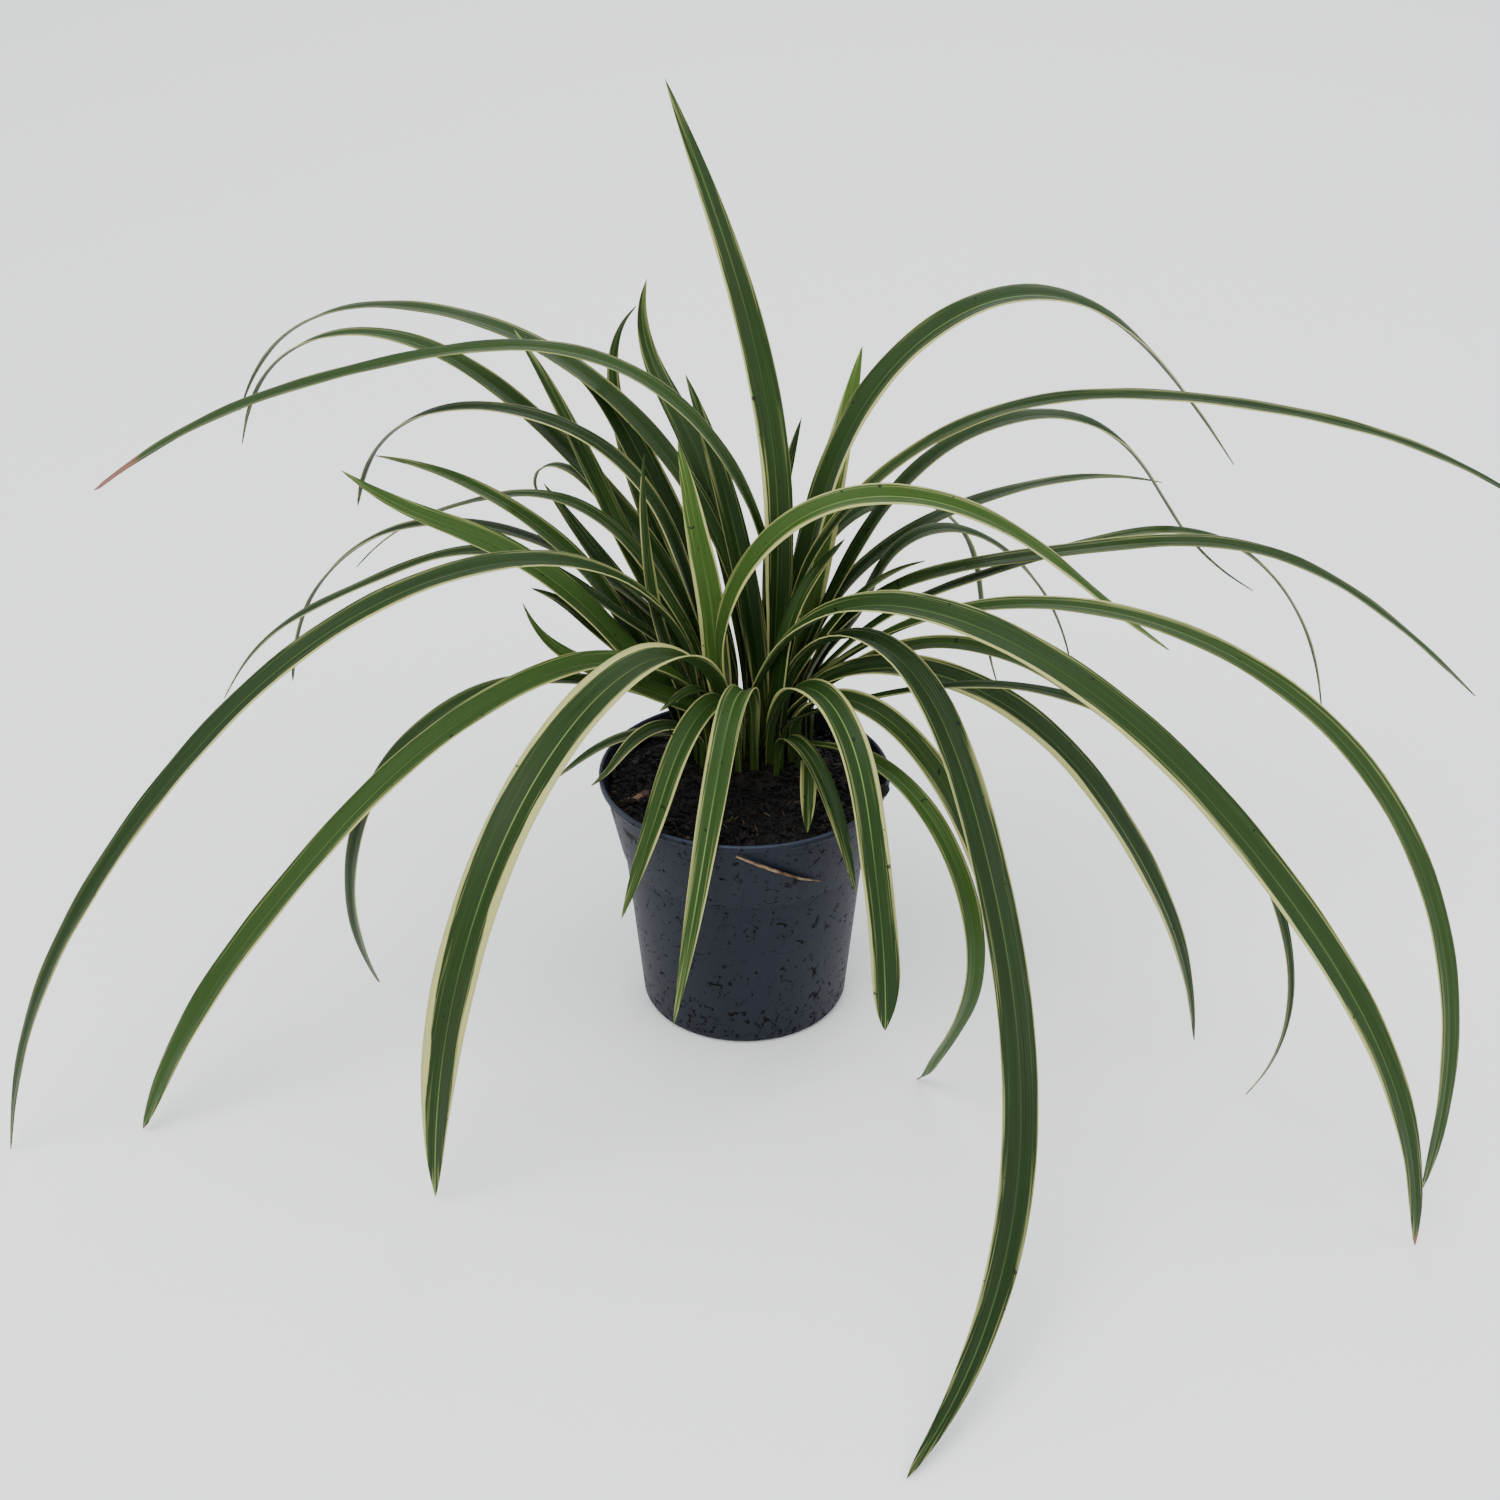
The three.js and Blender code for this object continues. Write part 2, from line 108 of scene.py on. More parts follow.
def newPiece(name, work, materials, smooth=True):
    mesh = bpy.data.meshes.new(name)
    work.to_mesh(mesh)
    work.free()
    for material in materials:
        mesh.materials.append(material)
    mesh.polygons.foreach_set("use_smooth", [smooth] * len(mesh.polygons))
    piece = bpy.data.objects.new(name, mesh)
    bpy.context.scene.collection.objects.link(piece)
    return piece


def smoothAt(values, place):
    # a value read from a list of evenly spaced ones, passing smoothly through each
    i = min(int(place), len(values) - 2)
    t = place - i
    before, start = values[max(i - 1, 0)], values[i]
    end, after = values[i + 1], values[min(i + 2, len(values) - 1)]
    return (start + (end - before) * (0.5 * t) + (before * 2 - start * 5 + end * 4 - after) * (0.5 * t * t)
            + ((start - end) * 3 + after - before) * (0.5 * t ** 3))


# pot: injection-moulded polypropylene, so a satin skin with faint flow marks, dust and stuck-on mix

potLook = {
    "wall": 0.0012, "lip": 0.003, "ledgeHeight": 0.063, "ledgeRadius": 0.0446, "ledgeStep": 0.0009,
    "footRadius": 0.0375, "footRounding": 0.0025, "floor": 0.0016, "segments": 144,
    "holes": 6, "holeRadius": 0.004, "holeCircle": 0.025,
    "plastic": "#10141e", "plasticLight": "#171c29", "rimEdge": "#343b4b",
    "dust": "#232731", "dirt": "#040303",
}


def potMaterial():
    look = potLook
    material, tree, shader = newMaterial("moulded_polypropylene_slate_blue", 0.42, 0.16)
    place = addNode(tree, "ShaderNodeTexCoord").outputs["Object"]
    split = addNode(tree, "ShaderNodeSeparateXYZ", sockets={0: place})
    # broad uneven tone, 20 mm patches stretched upwards as the melt flowed
    flow = addNode(tree, "ShaderNodeMapping", {"Scale": (1, 1, 0.35)}, {"Vector": place})
    tone = addNode(tree, "ShaderNodeTexNoise", {"Scale": 45, "Detail": 4}, {"Vector": flow.outputs[0]})
    colour = addNode(tree, "ShaderNodeMix", {"data_type": "RGBA"},
        {0: tone.outputs["Fac"], 6: look["plastic"], 7: look["plasticLight"]}).outputs[2]
    # dry dust film in patches
    dustNoise = addNode(tree, "ShaderNodeTexNoise", {"Scale": 130, "Detail": 6, "Roughness": 0.65},
        {"Vector": place})
    dust = addNode(tree, "ShaderNodeValToRGB", {"stops": [(0.5, 0), (0.78, 0.3)]},
        {"Fac": dustNoise.outputs["Fac"]}).outputs["Color"]
    colour = addNode(tree, "ShaderNodeMix", {"data_type": "RGBA"},
        {0: dust, 6: colour, 7: look["dust"]}).outputs[2]
    # stuck crumbs and smears of wet mix, 1 to 4 mm across and thickest near the foot
    specks = addNode(tree, "ShaderNodeTexNoise", {"Scale": 260, "Detail": 4, "Roughness": 0.7,
        "Distortion": 1.5}, {"Vector": place})
    foot = addNode(tree, "ShaderNodeMapRange", {1: 0.02, 2: 0.0, 3: 0.0, 4: 0.055},
        {0: split.outputs["Z"]}).outputs[0]
    speckShare = addNode(tree, "ShaderNodeMath", {"operation": "ADD"},
        {0: specks.outputs["Fac"], 1: foot})
    speck = addNode(tree, "ShaderNodeValToRGB", {"stops": [(0.6, 0), (0.615, 1)]},
        {"Fac": speckShare.outputs[0]}).outputs["Color"]
    smearMap = addNode(tree, "ShaderNodeMapping", {"Scale": (1, 1, 0.45)}, {"Vector": place})
    smears = addNode(tree, "ShaderNodeTexNoise", {"Scale": 150, "Detail": 7, "Roughness": 0.7,
        "Distortion": 1.2}, {"Vector": smearMap.outputs[0]})
    smearShare = addNode(tree, "ShaderNodeMath", {"operation": "ADD"},
        {0: smears.outputs["Fac"], 1: foot})
    smear = addNode(tree, "ShaderNodeValToRGB", {"stops": [(0.64, 0), (0.7, 0.9)]},
        {"Fac": smearShare.outputs[0]}).outputs["Color"]
    dirt = addNode(tree, "ShaderNodeMath", {"operation": "MAXIMUM", "use_clamp": True},
        {0: speck, 1: smear}).outputs[0]
    colour = addNode(tree, "ShaderNodeMix", {"data_type": "RGBA"},
        {0: dirt, 6: colour, 7: look["dirt"]}).outputs[2]
    # the rim's thin edge is rubbed paler
    rim = addNode(tree, "ShaderNodeMapRange", {1: 0.0932, 2: 0.0937}, {0: split.outputs["Z"]})
    rubbed = addNode(tree, "ShaderNodeMath", {"operation": "MULTIPLY"}, {0: rim.outputs[0], 1: 0.7})
    colour = addNode(tree, "ShaderNodeMix", {"data_type": "RGBA"},
        {0: rubbed.outputs[0], 6: colour, 7: look["rimEdge"]}).outputs[2]
    tree.links.new(colour, shader.inputs["Base Color"])
    rough = addNode(tree, "ShaderNodeMapRange", {1: 0.0, 2: 1.0, 3: 0.5, 4: 0.95}, {0: dirt})
    tree.links.new(rough.outputs[0], shader.inputs["Roughness"])
    grain = addNode(tree, "ShaderNodeTexNoise", {"Scale": 900, "Detail": 2}, {"Vector": place})
    crust = addNode(tree, "ShaderNodeMath", {"operation": "MULTIPLY"}, {0: dirt, 1: 1.6})
    skin = addNode(tree, "ShaderNodeMath", {"operation": "MULTIPLY"}, {0: grain.outputs["Fac"], 1: 0.12})
    height = addNode(tree, "ShaderNodeMath", {"operation": "ADD"},
        {0: crust.outputs[0], 1: skin.outputs[0]}).outputs[0]
    bump = addNode(tree, "ShaderNodeBump", {"Strength": 0.5, "Distance": 0.0004}, {"Height": height})
    tree.links.new(bump.outputs[0], shader.inputs["Normal"])
    return material


def makePot():
    look = potLook
    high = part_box("pot")[1]
    rim, top, wall = high.x, high.z, look["wall"]
    step = look["ledgeRadius"] - look["ledgeStep"]
    lipFoot = top - look["lip"]
    collarTop = rim - 0.0008
    foot, ledge, ledgeHeight = look["footRadius"], look["ledgeRadius"], look["ledgeHeight"]
    outline = [
        (0, 0), (foot * 0.6, 0), (foot - look["footRounding"], 0), (foot - 0.0007, 0.0007),
        (foot + 0.0002, look["footRounding"]), (step - 0.0002, ledgeHeight - 0.0012),
        (step, ledgeHeight), (ledge, ledgeHeight + 0.0008),
        (ledge + 0.0006, ledgeHeight + 0.003), (collarTop - 0.001, lipFoot - 0.0006),
        (rim - 0.0004, lipFoot + 0.0003), (rim, lipFoot + 0.0009), (rim, top - 0.0005),
        (rim - 0.0003, top - 0.0001), (rim - 0.0008, top), (rim - 0.0012, top - 0.0003),
        (rim - wall - 0.0009, lipFoot), (ledge - wall, ledgeHeight + 0.001),
        (step - wall, ledgeHeight - 0.0008), (foot - wall, look["floor"] + 0.002),
        (foot - wall - 0.0015, look["floor"]), (foot * 0.6, look["floor"]), (0, look["floor"]),
    ]
    work = bmesh.new()
    points = [work.verts.new((radius, 0, height)) for radius, height in outline]
    edges = [work.edges.new(pair) for pair in zip(points, points[1:])]
    bmesh.ops.spin(work, geom=points + edges, cent=(0, 0, 0), axis=(0, 0, 1), angle=2 * math.pi,
        steps=look["segments"], use_merge=True)
    bmesh.ops.remove_doubles(work, verts=work.verts, dist=1e-6)
    bmesh.ops.recalc_face_normals(work, faces=work.faces)
    for vert in work.verts:  # a thin wall is never quite round
        turn = math.atan2(vert.co.y, vert.co.x)
        squeeze = 1 - 0.006 * (vert.co.z / top) ** 2 * (1 + math.sin(2 * turn + 0.7)) / 2
        vert.co.x, vert.co.y = vert.co.x * squeeze, vert.co.y * squeeze
    pot = newPiece("nursery_pot", work, [potMaterial()])
    drills = bmesh.new()
    for i in range(look["holes"]):
        turn = (i + 0.5) / look["holes"] * 2 * math.pi
        place = Matrix.Translation((look["holeCircle"] * math.cos(turn),
            look["holeCircle"] * math.sin(turn), 0))
        bmesh.ops.create_cone(drills, cap_ends=True, segments=24, radius1=look["holeRadius"],
            radius2=look["holeRadius"], depth=0.01, matrix=place)
    drill = newPiece("drain_drills", drills, [])
    cut = pot.modifiers.new("drain holes", "BOOLEAN")
    cut.object, cut.operation, cut.solver = drill, "DIFFERENCE", "EXACT"
    bpy.context.view_layer.update()
    cutMesh = bpy.data.meshes.new_from_object(pot.evaluated_get(bpy.context.evaluated_depsgraph_get()))
    pot.modifiers.clear()
    pot.data = cutMesh
    bpy.data.objects.remove(drill)
    pot.data.set_sharp_from_angle(angle=math.radians(28))
    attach(pot, "root")
    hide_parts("pot")


makePot()
print("pot made")


# potting mix: milled peat and bark, near black and matt when moist, with crumbs, chips and pale roots

mixLook = {
    "segments": 150, "rings": 44, "lump": 0.0016, "fine": 0.0007, "skirt": 0.012,
    "edge": 0.0492, "levelBeyond": 0.0465, "crumbReach": 0.0485,
    "crumbs": 2600, "crumbSize": (0.0008, 0.0028), "fibres": 34,
    "dark": "#040303", "brown": "#0f0a07", "bark": "#2a1a10",
}


def mixMaterial():
    look = mixLook
    material, tree, shader = newMaterial("moist_peat_and_bark_mix", 0.85, 0.35)
    place = addNode(tree, "ShaderNodeTexCoord").outputs["Object"]
    crumbs = addNode(tree, "ShaderNodeTexVoronoi", {"Scale": 520, "Randomness": 1},
        {"Vector": place})  # 2 mm crumbs
    patches = addNode(tree, "ShaderNodeTexNoise", {"Scale": 160, "Detail": 5, "Roughness": 0.7},
        {"Vector": place})
    tint = addNode(tree, "ShaderNodeSeparateColor", sockets={0: crumbs.outputs["Color"]})
    colour = addNode(tree, "ShaderNodeValToRGB", {"stops": [(0.0, look["dark"]), (0.7, look["brown"]),
        (0.93, look["brown"]), (1.0, look["bark"])]}, {"Fac": tint.outputs[0]}).outputs["Color"]
    dark = addNode(tree, "ShaderNodeValToRGB", {"stops": [(0.35, 0.35), (0.7, 1.0)]},
        {"Fac": patches.outputs["Fac"]}).outputs["Color"]
    colour = addNode(tree, "ShaderNodeMix", {"data_type": "RGBA", "blend_type": "MULTIPLY"},
        {0: 1.0, 6: colour, 7: dark}).outputs[2]
    tree.links.new(colour, shader.inputs["Base Color"])
    damp = addNode(tree, "ShaderNodeMapRange", {1: 0.3, 2: 0.7, 3: 0.55, 4: 0.95},
        {0: patches.outputs["Fac"]})
    tree.links.new(damp.outputs[0], shader.inputs["Roughness"])
    fine = addNode(tree, "ShaderNodeTexNoise", {"Scale": 900, "Detail": 6, "Roughness": 0.75},
        {"Vector": place})
    crumbHeight = addNode(tree, "ShaderNodeMath", {"operation": "MULTIPLY"},
        {0: crumbs.outputs["Distance"], 1: -0.8})
    height = addNode(tree, "ShaderNodeMath", {"operation": "ADD"},
        {0: fine.outputs["Fac"], 1: crumbHeight.outputs[0]}).outputs[0]
    bump = addNode(tree, "ShaderNodeBump", {"Strength": 0.9, "Distance": 0.0008}, {"Height": height})
    tree.links.new(bump.outputs[0], shader.inputs["Normal"])
    return material


peat = mixMaterial()
mixTree = BVHTree.FromPolygons([v.co for v in nodes["potting_mix"].data.vertices],
                               [list(p.vertices) for p in nodes["potting_mix"].data.polygons])
mixLow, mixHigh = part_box("potting_mix")
crownLow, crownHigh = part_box("crown")
crownMiddle = (crownLow + crownHigh) / 2


def mixSurface(x, y):
    # the height of the CAD's mix at a place, held level just outside its edge
    reach = math.hypot(x, y)
    limit = mixLook["levelBeyond"]
    if reach > limit:
        x, y = x * limit / reach, y * limit / reach
    hit = mixTree.ray_cast(Vector((x, y, 0.2)), Vector((0, 0, -1)))
    return hit[0].z if hit[0] else mixHigh.z


def roughHeight(x, y):
    look = mixLook
    place = Vector((x, y, 0))
    lumps = noise.fractal(place * 160, 0.9, 2.1, 3) * look["lump"]
    fine = noise.fractal(place * 700, 0.9, 2.1, 3) * look["fine"]
    return mixSurface(x, y) + lumps + fine


def makeMix():
    look = mixLook
    work = bmesh.new()
    points = [work.verts.new((look["edge"] * i / look["rings"], 0, 0)) for i in range(look["rings"] + 1)]
    edges = [work.edges.new(pair) for pair in zip(points, points[1:])]
    bmesh.ops.spin(work, geom=points + edges, cent=(0, 0, 0), axis=(0, 0, 1), angle=2 * math.pi,
        steps=look["segments"], use_merge=True)
    bmesh.ops.remove_doubles(work, verts=work.verts, dist=1e-7)
    for vert in work.verts:
        vert.co.z = roughHeight(vert.co.x, vert.co.y)
    rimEdges = [edge for edge in work.edges if edge.is_boundary]
    skirt = bmesh.ops.extrude_edge_only(work, edges=rimEdges)
    low = [item for item in skirt["geom"] if isinstance(item, bmesh.types.BMVert)]
    for vert in low:
        vert.co = Vector((vert.co.x * 0.965, vert.co.y * 0.965, mixHigh.z - look["skirt"]))
    bmesh.ops.holes_fill(work, edges=[edge for edge in work.edges if edge.is_boundary], sides=0)
    bmesh.ops.recalc_face_normals(work, faces=work.faces)
    piece = newPiece("peat_mix", work, [peat])
    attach(piece, "root")
    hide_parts("potting_mix")


def makeCrumbs():
    look = mixLook
    draw = random.Random(11)
    work = bmesh.new()
    for _ in range(look["crumbs"]):
        reach, turn = look["crumbReach"] * math.sqrt(draw.random()), draw.uniform(0, 2 * math.pi)
        x, y = reach * math.cos(turn), reach * math.sin(turn)
        size = draw.uniform(*look["crumbSize"]) * draw.choice((0.5, 0.7, 1))
        made = bmesh.ops.create_icosphere(work, subdivisions=1, radius=size / 2)["verts"]
        turnMatrix = Matrix.Rotation(draw.uniform(0, 6.28), 3,
            Vector((draw.random(), draw.random(), 1)).normalized())
        stretch = Vector((draw.uniform(0.7, 1.7), draw.uniform(0.7, 1.2), draw.uniform(0.5, 0.9)))
        lift = roughHeight(x, y) + size * 0.2
        outX = (x - crownMiddle.x) / (crownHigh.x - crownLow.x) * 2
        outY = (y - crownMiddle.y) / (crownHigh.y - crownLow.y) * 2
        dome = math.sqrt(max(0, 1 - outX * outX - outY * outY))
        lift = max(lift, crownLow.z + (crownHigh.z - crownLow.z) * dome)
        for vert in made:
            shaped = Vector(a * b * draw.uniform(0.8, 1.2) for a, b in zip(vert.co, stretch))
            vert.co = turnMatrix @ shaped + Vector((x, y, lift))
    piece = newPiece("peat_crumbs", work, [peat], smooth=False)
    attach(piece, "root")


# litter: straw, a bark chip and pale dead roots, all dull and dry; turns in degrees round the pot, the
# rest in metres
litterLook = {
    "straw": ((-93, 0.004, 0.001), (-84, 0.0085, 0.0021), (-75, 0.0132, 0.0023), (-66, 0.018, 0.0017),
        (-56, 0.0222, 0.0005)),
    "chip": ((-0.0455, -0.012), (-0.0315, -0.0065)), "rimCrumb": (-18, 0.0046),
}


def litterMaterial(name, pale, dark, scale):
    material, tree, shader = newMaterial(name, 0.75, 0.25)
    place = addNode(tree, "ShaderNodeTexCoord").outputs["Object"]
    stretch = addNode(tree, "ShaderNodeMapping", {"Scale": (0.3, 1, 1)}, {"Vector": place})
    grain = addNode(tree, "ShaderNodeTexNoise", {"Scale": scale, "Detail": 4},
        {"Vector": stretch.outputs[0]})
    colour = addNode(tree, "ShaderNodeValToRGB", {"stops": [(0.38, dark), (0.62, pale)]},
        {"Fac": grain.outputs["Fac"]}).outputs["Color"]
    tree.links.new(colour, shader.inputs["Base Color"])
    bump = addNode(tree, "ShaderNodeBump", {"Strength": 0.7, "Distance": 0.0003},
        {"Height": grain.outputs["Fac"]})
    tree.links.new(bump.outputs[0], shader.inputs["Normal"])
    return material


straw = litterMaterial("dry_sedge_straw", "#8f765c", "#4a3626", 300)
bark = litterMaterial("milled_pine_bark", "#7c6050", "#1f130d", 420)
deadRoot = litterMaterial("dried_root_fibre", "#7d6a50", "#3b2c1e", 700)


def makeStrand(name, points, widths, flatness, material, sides=6):
    work = bmesh.new()
    ahead = [(b - a).normalized() for a, b in zip(points, points[1:])]
    ahead.append(ahead[-1])
    rings = []
    for point, width, way in zip(points, widths, ahead):
        turn = way.to_track_quat("Z", "Y").to_matrix().to_4x4()
        size = Matrix.Diagonal((width / 2, width / 2 * flatness, 1, 1))
        made = bmesh.ops.create_circle(work, segments=sides, radius=1,
            matrix=Matrix.Translation(point) @ turn @ size)["verts"]
        rings.append([work.edges.get((made[i], made[(i + 1) % sides])) for i in range(sides)])
    for first, second in zip(rings, rings[1:]):
        bmesh.ops.bridge_loops(work, edges=first + second)
    bmesh.ops.holes_fill(work, edges=[edge for edge in work.edges if edge.is_boundary], sides=0)
    bmesh.ops.recalc_face_normals(work, faces=work.faces)
    piece = newPiece(name, work, [material])
    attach(piece, "root")


def collarRadius(height):
    climb = (height - potLook["ledgeHeight"]) / (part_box("pot")[1].z - potLook["ledgeHeight"])
    return potLook["ledgeRadius"] + (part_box("pot")[1].x - potLook["ledgeRadius"]) * climb


def makeLitter():
    look = litterLook
    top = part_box("pot")[1].z
    points, widths = [], []
    for turn, drop, width in look["straw"]:
        radius = collarRadius(top - drop) + 0.0006
        points.append(Vector((radius * math.cos(math.radians(turn)), radius * math.sin(math.radians(turn)),
            top - drop)))
        widths.append(width)
    makeStrand("dry_straw", points, widths, 0.5, straw)
    (x1, y1), (x2, y2) = look["chip"]
    line = [Vector((x1 + (x2 - x1) * i / 4, y1 + (y2 - y1) * i / 4 + 0.0006 * (i % 2), 0))
        for i in range(5)]
    for point in line:
        point.z = roughHeight(point.x, point.y) + 0.0013
    makeStrand("bark_chip", line, (0.0015, 0.0054, 0.0044, 0.005, 0.0016), 0.5, bark, 8)
    draw = random.Random(5)
    for i in range(mixLook["fibres"]):
        turn, reach = draw.uniform(-150, 20), draw.uniform(0.018, 0.044)
        start = Vector((reach * math.cos(math.radians(turn)), reach * math.sin(math.radians(turn)), 0))
        heading, bend = draw.uniform(0, 6.28), draw.uniform(-0.5, 0.5)
        fibre = []
        for k in range(6):
            if start.xy.length > 0.046:
                break
            fibre.append(Vector((start.x, start.y,
                roughHeight(start.x, start.y) + 0.0006 + 0.0006 * math.sin(k * 1.3))))
            start += Vector((math.cos(heading), math.sin(heading), 0)) * draw.uniform(0.0012, 0.0026)
            heading += bend
        if len(fibre) > 2:
            makeStrand(f"root_fibre_{i + 1}", fibre, [0.00028] * len(fibre), 1, deadRoot, 4)
    turn, size = look["rimCrumb"]
    work = bmesh.new()
    bmesh.ops.create_icosphere(work, subdivisions=2, radius=size / 2)
    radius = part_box("pot")[1].x - 0.0008
    for vert in work.verts:
        vert.co *= 1 + 0.35 * noise.noise(vert.co * 900)
        vert.co += Vector((radius * math.cos(math.radians(turn)), radius * math.sin(math.radians(turn)),
            top + size * 0.2))
    piece = newPiece("rim_crumb", work, [peat])
    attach(piece, "root")


makeMix()
makeCrumbs()
makeLitter()
print("potting mix made")


# blades: living leaf tissue with a thin wax skin, so satin, with parallel veins and cream unpigmented edges

bladeLook = {
    "across": 10, "along": 76, "thickness": 0.00038, "rib": 0.05,
    "green": "#172c0f", "greenDeep": "#0c1a07", "greenPale": "#2a4518",
    "cream": "#a3ad74", "creamWarm": "#b9b26c", "midrib": "#7d9654",
    "fresh": "#4f6a26", "freshDeep": "#304b18", "base": "#3f5220", "under": "#22341b", "dry": "#7d5340",
    "speck": "#060504", "veinSpacing": 0.0009, "root": 0.004,
}

# cream: edge widths in millimetres, left and right seen from the base; dry: share of the length that is dry;
# pale, fresh and midrib: strengths from 0 to 1; blunt: power on the outer width, smaller for a blunter end
bladeTraits = {
    "leaf_front_left_1": {"midrib": 0.9, "cream": (2.5, 2.8), "dry": 0.0, "pale": 0.1},
    "leaf_right_1": {"cream": (0.6, 1.5), "dry": 0.02, "pale": 0.3, "blunt": 0.6},
    "leaf_front_right_1": {"cream": (0.5, 0.7), "dry": 0.0, "pale": 0.15, "blunt": 0.6},
    "leaf_left_1": {"cream": (0.9, 0.25), "dry": 0.0, "pale": 0.2, "blunt": 0.7},
    "leaf_left_2": {"fresh": 0.2, "cream": (0.8, 0.4), "dry": 0.01, "pale": 0.75, "blunt": 0.5},
    "leaf_right_2": {"midrib": 0.6, "cream": (0.8, 2.6), "dry": 0.0, "pale": 0.05},
    "leaf_right_3": {"midrib": 0.6, "cream": (0.5, 1.5), "dry": 0.0, "pale": 0.25, "blunt": 0.7},
    "leaf_back_1": {"cream": (1.4, 0.4), "dry": 0.0, "pale": 0.15},
    "leaf_centre_1": {"midrib": 0.8, "fresh": 0.4, "cream": (0.8, 2.2), "dry": 0.0, "pale": 0.8,
        "blunt": 0.7},
    "leaf_front_1": {"midrib": 0.9, "cream": (0.7, 0.9), "dry": 0.0, "pale": 0.75},
    "leaf_front_2": {"midrib": 0.9, "cream": (1.3, 1.3), "dry": 0.0, "pale": 0.45},
    "leaf_front_left_2": {"midrib": 0.6, "cream": (0.9, 0.5), "dry": 0.0, "pale": 0.75},
    "leaf_front_right_2": {"cream": (0.9, 0.9), "dry": 0.03, "pale": 0.2},
    "leaf_left_5": {"cream": (0.2, 0.3), "dry": 0.075, "pale": 0.4, "blunt": 0.3},
    "leaf_left_3": {"cream": (0.5, 0.2), "dry": 0.02, "pale": 0.2, "blunt": 0.28},
    "leaf_left_4": {"cream": (0.5, 0.15), "dry": 0.0, "pale": 0.0, "blunt": 0.6},
    "leaf_right_4": {"cream": (0.7, 0.4), "dry": 0.0, "pale": 0.2, "blunt": 0.6},
    "leaf_right_5": {"fresh": 0.15, "cream": (0.7, 0.3), "dry": 0.0, "pale": 0.4, "blunt": 0.5},
    "leaf_right_6": {"cream": (0.5, 0.25), "dry": 0.0, "pale": 0.1, "blunt": 0.6},
    "leaf_right_12": {"cream": (0.6, 0.3), "dry": 0.0, "pale": 0.4},
    "leaf_back_2": {"midrib": 0.6, "fresh": 1.0, "cream": (1.2, 1.6), "dry": 0.0, "pale": 0.8},
    "leaf_back_left_3": {"cream": (0.2, 0.7), "dry": 0.0, "pale": 0.1},
    "leaf_back_left_5": {"cream": (0.5, 0.6), "dry": 0.0, "pale": 0.05, "blunt": 0.6},
    "leaf_centre_3": {"fresh": 0.6, "cream": (1.3, 1.0), "dry": 0.0, "pale": 0.9},
    "leaf_centre_2": {"cream": (0.4, 0.4), "dry": 0.0, "pale": 0.3},
    "leaf_left_7": {"fresh": 0.3, "cream": (0.4, 0.2), "dry": 0.01, "pale": 0.8},
    "leaf_left_9": {"cream": (0.3, 0.2), "dry": 0.0, "pale": 0.0, "blunt": 0.5},
    "leaf_left_10": {"fresh": 0.35, "cream": (0.2, 0.2), "dry": 0.0, "pale": 0.6},
    "leaf_left_13": {"cream": (0.6, 0.6), "dry": 0.02, "pale": 0.3},
    "leaf_front_right_5": {"cream": (0.6, 0.6), "dry": 0.0, "pale": 0.1},
    "leaf_front_right_3": {"fresh": 0.3, "cream": (0.3, 0.3), "dry": 0.03, "pale": 0.6, "blunt": 0.5},
}


